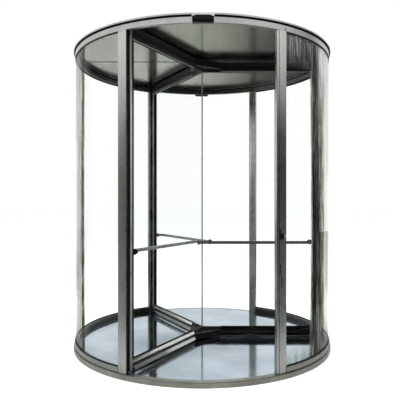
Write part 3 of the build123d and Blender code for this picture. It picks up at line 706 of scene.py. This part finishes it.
def make_edge_brushes():
    """Upright strips that sweep the walls."""
    inner, outer = strip_ends("edge_brushes", EDGE_BRUSH_HALF)
    low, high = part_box("edge_brushes")
    built, chance = bmesh.new(), Random(5)
    for out, side in wing_directions():
        start, end = out * inner + UP * low[2], out * inner + UP * high[2]
        reach = out * (outer - inner)
        add_brush(built, start, end, reach, EDGE_BRUSH_FREE, side * EDGE_BRUSH_HALF, chance)
    finish_brushes(built, "edge_brushes", "edge_brush_strips")


def make_rail_brushes():
    """Strips that sweep the floor and the ceiling."""
    inner, outer = strip_ends("rail_brushes", RAIL_BRUSH_HALF)
    low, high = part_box("rail_brushes")
    built, chance = bmesh.new(), Random(6)
    for out, side in wing_directions():
        for level, way in ((low[2] + RAIL_BRUSH_HEIGHT, -1), (high[2] - RAIL_BRUSH_HEIGHT, 1)):
            start, end = out * inner + UP * level, out * outer + UP * level
            reach = UP * way * RAIL_BRUSH_HEIGHT
            add_brush(built, start, end, reach, RAIL_BRUSH_FREE, side * RAIL_BRUSH_HALF, chance)
    finish_brushes(built, "rail_brushes", "rail_brush_strips")


# ------------------------------------------------------------------ drum and rotor
def make_drum():
    for side in ("left", "right"):
        dressed(f"wall_glass_{side}", f"wall_glass_{side}", EDGE)
        # the wall rails' inward faces take a painted shade
        dressed(f"wall_rail_{side}", "rail_ring", EDGE, accents=[("shaded_rail", looks_inward)])
        dressed(f"wall_gasket_{side}", "black_rubber")
        for end in ("front", "back"):
            dressed(f"post_{end}_{side}", "satin_upright", EDGE)
    dressed("base_ring", "base_metal", 0.0012)
    # faces of the fascia that look down or inward take a painted shade
    shaded = [("shaded_metal", looks_down), ("shaded_metal", looks_inward)]
    dressed("fascia_ring", "satin_ring", EDGE, accents=shaded)
    dressed("shadow_gap_ring", "black_metal")
    # The cap's underside takes a painted shade: black.
    dressed("cap_ring", "satin_ring", 0.0015, accents=[("black_metal", looks_down)])
    for end in ("front", "back"):
        dressed(f"sensor_{end}", "sensor_plastic", 0.002, segments=3)
    dressed("sensor_brackets", "bracket_metal", 0.001)
    dressed("lock_fittings", "lock_black", FINE_EDGE)
    dressed("lock_ring", "ring_steel", 0.0018, segments=3)
    assign("floor_plate", "polished_floor")
    assign("floor_pan", "grey_metal")
    assign("ceiling_panels", "gloss_ceiling")
    assign("ceiling_joint_strip", "black_metal")
    assign("roof_cover", "grey_metal")
    assign("floor_bearing", "bar_steel")
    assign("ceiling_bearing", "bar_steel")


def make_wing(wing, angle):
    """One pane in its frame, with its push bar."""
    bottom_rail, top_rail = f"{wing}_bottom_rail", f"{wing}_top_rail"
    dressed(f"{wing}_glass", "wing_glass", EDGE)
    dressed(f"{wing}_stile", "stile_metal")
    # Painted shade on a bottom rail: its upright ribbed band is darker and its groove black.
    bands = [
        ("rail_band", above_base(bottom_rail, RAIL_RIBS)),
        ("hub_black_and_groove_shade", above_base(bottom_rail, RAIL_GROOVE)),
    ]
    skirt = steeper_skirt(angle)
    dressed(bottom_rail, f"satin_{wing}", FINE_EDGE, accents=bands, reshape=skirt)
    # A top rail takes a painted shade, near black; only its neck keeps a light metal tone.
    neck = [("bracket_metal", above_base(top_rail, RAIL_NECK))]
    dressed(top_rail, "top_rail_shade", FINE_EDGE, accents=neck)
    dressed(f"{wing}_push_bar", "bar_steel", EDGE, accents=[("lock_black", beyond(BAR_CAP_START))])


def make_rotor():
    for wing, angle in WING_ANGLES.items():
        make_wing(wing, angle)
    bottom_step = [("stile_metal", upright(above_base("hub_bottom", BOTTOM_STEP)))]
    top_step = [("stile_metal", upright(below_top("hub_top", TOP_STEP)))]
    dressed("hub_bottom", "hub_black_and_groove_shade", FINE_EDGE, accents=bottom_step)
    dressed("hub_top", "hub_black_and_groove_shade", FINE_EDGE, accents=top_step)
    dressed("seal_carriers", "black_metal", EDGE)
    make_edge_brushes()
    make_rail_brushes()
    dressed("glazing_gaskets", "black_rubber", EDGE)
    assign("centre_joint", "joint_grey")


# ------------------------------------------------------------------ white ground
WHITE = (1, 1, 1)
SKY = (0.96, 0.98, 1.0)
SKY_STRENGTH = 0.75             # light that the world gives to the object
FLOOR_REACH = 60.0
FLOOR_LEVEL = -0.0005
FLOOR_TONE = (0.8, 0.8, 0.8)
FLOOR_GLOW = 0.41               # lifts the floor to white where it is seen directly


def seen_directly(tree):
    """1 for camera, glossy and transmission rays, 0 for the rays that carry light to the object."""
    path = add_node(tree, "LightPath").outputs
    seen = maths(tree, "ADD", path["Is Camera Ray"], path["Is Glossy Ray"], clamp=True)
    return maths(tree, "ADD", seen, path["Is Transmission Ray"], clamp=True)


def make_world():
    """Soft light on the object, and plain white wherever the world is seen."""
    world = bpy.data.worlds.new("studio")
    tree = empty_tree(world)
    light = add_node(tree, "Background", {"Color": SKY, "Strength": SKY_STRENGTH}).outputs[0]
    white = add_node(tree, "Background", {"Color": WHITE, "Strength": 1.0}).outputs[0]
    add_node(tree, "OutputWorld", {"Surface": mix_shaders(tree, seen_directly(tree), light, white)})
    bpy.context.scene.world = world


def make_floor():
    """Pale matt floor that keeps the object's shadow."""
    bpy.ops.mesh.primitive_plane_add(size=2 * FLOOR_REACH, location=(0, 0, FLOOR_LEVEL))
    floor = bpy.context.object
    floor.name = "studio_floor"
    constants = {"Base_Color": FLOOR_TONE, "Roughness": 0.9, "Specular_IOR_Level": 0.0}
    tree, shader = start_material("studio_floor", **constants)
    strength = multiply(tree, seen_directly(tree), FLOOR_GLOW)
    glow = add_node(tree, "Emission", {"Color": WHITE, "Strength": strength}).outputs[0]
    both = add_node(tree, "AddShader", {0: shader.outputs[0], 1: glow}).outputs[0]
    plug(tree, tree.nodes["Material Output"].inputs["Surface"], both)
    floor.data.materials.append(MATERIALS["studio_floor"])


# ------------------------------------------------------------------ cards round the door
CARD_STEPS = 120
UPRIGHT_CARD = [(3.0, 0.002), (3.0, 4.5)]       # radius and height at its foot and its top
FLOOR_CARD = [(1.3, 0.001), (18.0, 0.001)]
FRONT_NEARER = 0.23             # share by which the cards come nearer in front
CARD_TONE = (0.95, 1.0, 0.93)
# Round the door from its back, by its left side, to its back again: the cards' brightness, the
# height to which the upright card is whole, and the height at which it has faded out.
SIDE_LEVELS = [
    (0.0, 0.6),
    (0.10, 0.05),
    (0.20, 0.3),
    (0.295, 0.10),
    (0.33, 0.30),
    (0.36, 0.15),
    (0.40, 0.08),
    (0.45, 0.015),
    (0.58, 0.015),
    (0.63, 0.05),
    (0.69, 0.13),
    (0.76, 0.15),
    (0.83, 0.3),
    (0.90, 0.05),
    (1.0, 0.6),
]
WHOLE_TO = [
    (0.0, 0.2),
    (0.20, 0.6),
    (0.30, 1.45),
    (0.38, 2.2),
    (0.44, 2.55),
    (0.58, 2.55),
    (0.69, 2.1),
    (0.72, 2.0),
    (0.76, 1.6),
    (0.80, 0.3),
    (1.0, 0.2),
]
FADED_BY = [
    (0.0, 0.4),
    (0.20, 1.2),
    (0.30, 3.1),
    (0.44, 2.95),
    (0.58, 2.95),
    (0.69, 3.3),
    (0.72, 4.5),
    (0.76, 4.6),
    (0.80, 0.95),
    (1.0, 0.4),
]
HEIGHT_SHARE = 5.0              # heights go through a colour ramp as shares of this one
# Dark patches of the upright card: two high up behind, either side of the way out, and one higher
# up beside it on the right. Place round the door, half width, levels of the fades, and cover.
PATCHES = [
    (0.095, 0.035, (2.15, 2.40, 3.4, 3.7), 1.0),
    (0.905, 0.040, (1.60, 1.95, 3.4, 3.7), 1.0),
    (0.722, 0.052, (3.36, 3.50, 4.2, 4.5), 0.75),
]
PATCH_CORE = 0.6                # share of a patch's half width that it covers whole
# A dim patch low down behind, which the floor plate mirrors: its cover and the places of its fades.
LOW_PATCH = 0.36
LOW_PATCH_HEIGHTS = (0.7, 1.00, 1.10, 1.24)
LOW_PATCH_X = (-1.5, -0.7, 0.2, 1.0)
LOW_PATCH_Y = (2.0, 2.8)
LOW_PATCH_LEVEL = 0.3           # share of the card's brightness that is left in it
LOW_PATCH_DIM_FROM = 0.1        # cover at which it is as dim as that
FOOT_COVER = 0.86               # cover of both cards at the floor
FOOT_TOP = 1.3                  # height at which the upright card's cover is whole
# The card on the floor: where it darkens away from the door and fades out, the part of the way
# round that it takes, and the places of the dark part well behind the door.
SHADE_RADII = (1.26, 3.2)
SHADE_START = 0.5
FADE_RADII = (8.0, 3.5)
BESIDE = (0.06, 0.25, 0.78, 0.95)
BEHIND_X = (-1.8, 2.7)
BEHIND_Y = (2.5, 4.5)
BEHIND_COVER = 0.94


def round_door(tree, turn, stops, scale=1.0):
    """Value that changes round the door, from a list of positions and values."""
    shades = [(position, (value / scale,) * 3) for position, value in stops]
    return multiply(tree, colour_ramp(tree, turn, shades), scale)


def upright_paint(tree, place, turn, level):
    """Dark band in front of the door and beside it, fading out above, and patches behind."""
    parts = split(tree, place)
    height = parts["Z"]
    top = round_door(tree, turn, FADED_BY, HEIGHT_SHARE)
    fade = maths(tree, "SUBTRACT", top, round_door(tree, turn, WHOLE_TO, HEIGHT_SHARE))
    cover = maths(tree, "DIVIDE", maths(tree, "SUBTRACT", top, height), fade, clamp=True)
    cover = multiply(tree, cover, ramp(tree, height, 0.0, FOOT_TOP, FOOT_COVER, 1.0))
    for middle, width, heights, strength in PATCHES:
        off = maths(tree, "ABSOLUTE", maths(tree, "SUBTRACT", turn, middle))
        sides = ramp(tree, off, width, PATCH_CORE * width, 0.0, strength)
        cover = maths(tree, "MAXIMUM", cover, multiply(tree, band(tree, height, *heights), sides))
    patch = multiply(
        tree,
        band(tree, height, *LOW_PATCH_HEIGHTS),
        ramp(tree, parts["Y"], *LOW_PATCH_Y),
        band(tree, parts["X"], *LOW_PATCH_X),
        LOW_PATCH,
    )
    left = ramp(tree, patch, LOW_PATCH_DIM_FROM, 0.0, LOW_PATCH_LEVEL, 1.0)
    return maths(tree, "MAXIMUM", cover, patch), multiply(tree, level, left)


def floor_paint(tree, place, turn, level):
    """Floor that darkens away from the door, in front and beside, and well behind it on the right."""
    parts = split(tree, place)
    radius = axis_distance(tree, place)
    away = multiply(tree, ramp_straight(tree, radius, *SHADE_RADII), 1 - SHADE_START)
    away = add(tree, away, SHADE_START)
    front = multiply(tree, away, band(tree, turn, *BESIDE), ramp(tree, radius, *FADE_RADII), FOOT_COVER)
    right, back = ramp(tree, parts["X"], *BEHIND_X), ramp(tree, parts["Y"], *BEHIND_Y)
    behind = multiply(tree, right, back, BEHIND_COVER)
    dimmed = multiply(tree, level, maths(tree, "SUBTRACT", 1.0, behind))
    return maths(tree, "MAXIMUM", front, behind), dimmed


def card_material(name, paint):
    """See-through sheet with a dim tone where the paint function's cover says so."""
    material = bpy.data.materials.new(name)
    tree = empty_tree(material)
    place = object_space(tree)
    parts = split(tree, place)
    turn = maths(tree, "ARCTAN2", parts["X"], multiply(tree, parts["Y"], -1.0))
    turn = ramp_straight(tree, turn, -pi, pi)
    mottle = noise(tree, drawn_out(tree, place, (1, 1, 0.35)), 1.3, 5.0, 0.6)
    level = multiply(tree, round_door(tree, turn, SIDE_LEVELS), ramp(tree, mottle, 0.3, 0.7, 0.88, 1.12))
    cover, level = paint(tree, place, turn, level)
    dark = add_node(tree, "Emission", {"Color": CARD_TONE, "Strength": level}).outputs[0]
    clear = add_node(tree, "BsdfTransparent").outputs[0]
    add_node(tree, "OutputMaterial", {"Surface": mix_shaders(tree, cover, clear, dark)})
    return material


def swept_card(name, section, paint):
    """Sheet made by turning a line about the axis, given as the radius and height of its two ends.
    Only polished faces see it: they need dark surroundings to show their form."""
    card = bmesh.new()
    rows = []
    for index in range(CARD_STEPS):
        turn = radians(360 * index / CARD_STEPS)
        out = Vector((cos(turn), sin(turn), 0))
        nearer = 1 - FRONT_NEARER * max(0.0, -out.y) ** 2
        rows.append([card.verts.new(out * radius * nearer + UP * height) for radius, height in section])
    for index, (first, last) in enumerate(rows):
        next_first, next_last = rows[(index + 1) % CARD_STEPS]
        card.faces.new((first, next_first, next_last, last))
    mesh = mesh_from(card, name)
    mesh.materials.append(card_material(name, paint))
    piece = bpy.data.objects.new(name, mesh)
    bpy.context.scene.collection.objects.link(piece)
    piece.visible_camera = False
    piece.visible_diffuse = False
    piece.visible_transmission = False
    piece.visible_shadow = False


# ------------------------------------------------------------------ lamps and camera
# Name, place, point aimed at, size, and power in watts.
SOFTBOXES = [
    ("key", (-4.5, -4.0, 6.0), (0, 0, 1.4), 3.0, 260),
    ("fill", (5.0, -3.0, 4.5), (0, 0, 1.2), 3.0, 120),
    ("top", (0, 0.5, 7.0), (0, 0, 0), 4.0, 160),
]
# The photograph's viewing angle, fitted to the drum's top and bottom circles.
CAMERA_PLACE = (0, -4.813, 1.408)
CAMERA_LENS = 42.93
CAMERA_SHIFT = (-0.0053, 0.0005)
PANE_FACES = 48                 # glass faces that a ray may pass, mirror images included


def add_softbox(name, place, aim, size, power):
    lamp = bpy.data.lights.new(name, "AREA")
    lamp.shape = "SQUARE"
    lamp.size = size
    lamp.energy = power
    holder = bpy.data.objects.new(name, lamp)
    holder.location = place
    holder.rotation_euler = (Vector(aim) - Vector(place)).to_track_quat("-Z", "Y").to_euler()
    holder.visible_glossy = False
    bpy.context.scene.collection.objects.link(holder)


def make_camera():
    data = bpy.data.cameras.new("camera")
    data.sensor_width = 36.0
    data.lens = CAMERA_LENS
    data.shift_x, data.shift_y = CAMERA_SHIFT
    camera = bpy.data.objects.new("camera", data)
    camera.location = CAMERA_PLACE
    camera.rotation_euler = (radians(90), 0, 0)
    bpy.context.scene.collection.objects.link(camera)
    bpy.context.scene.camera = camera


make_drum()
make_rotor()
make_world()
make_floor()
swept_card("upright_card", UPRIGHT_CARD, upright_paint)
swept_card("floor_card", FLOOR_CARD, floor_paint)
for softbox in SOFTBOXES:
    add_softbox(*softbox)
make_camera()
bpy.context.scene.view_settings.view_transform = "Standard"
bpy.context.scene.cycles.transparent_max_bounces = PANE_FACES
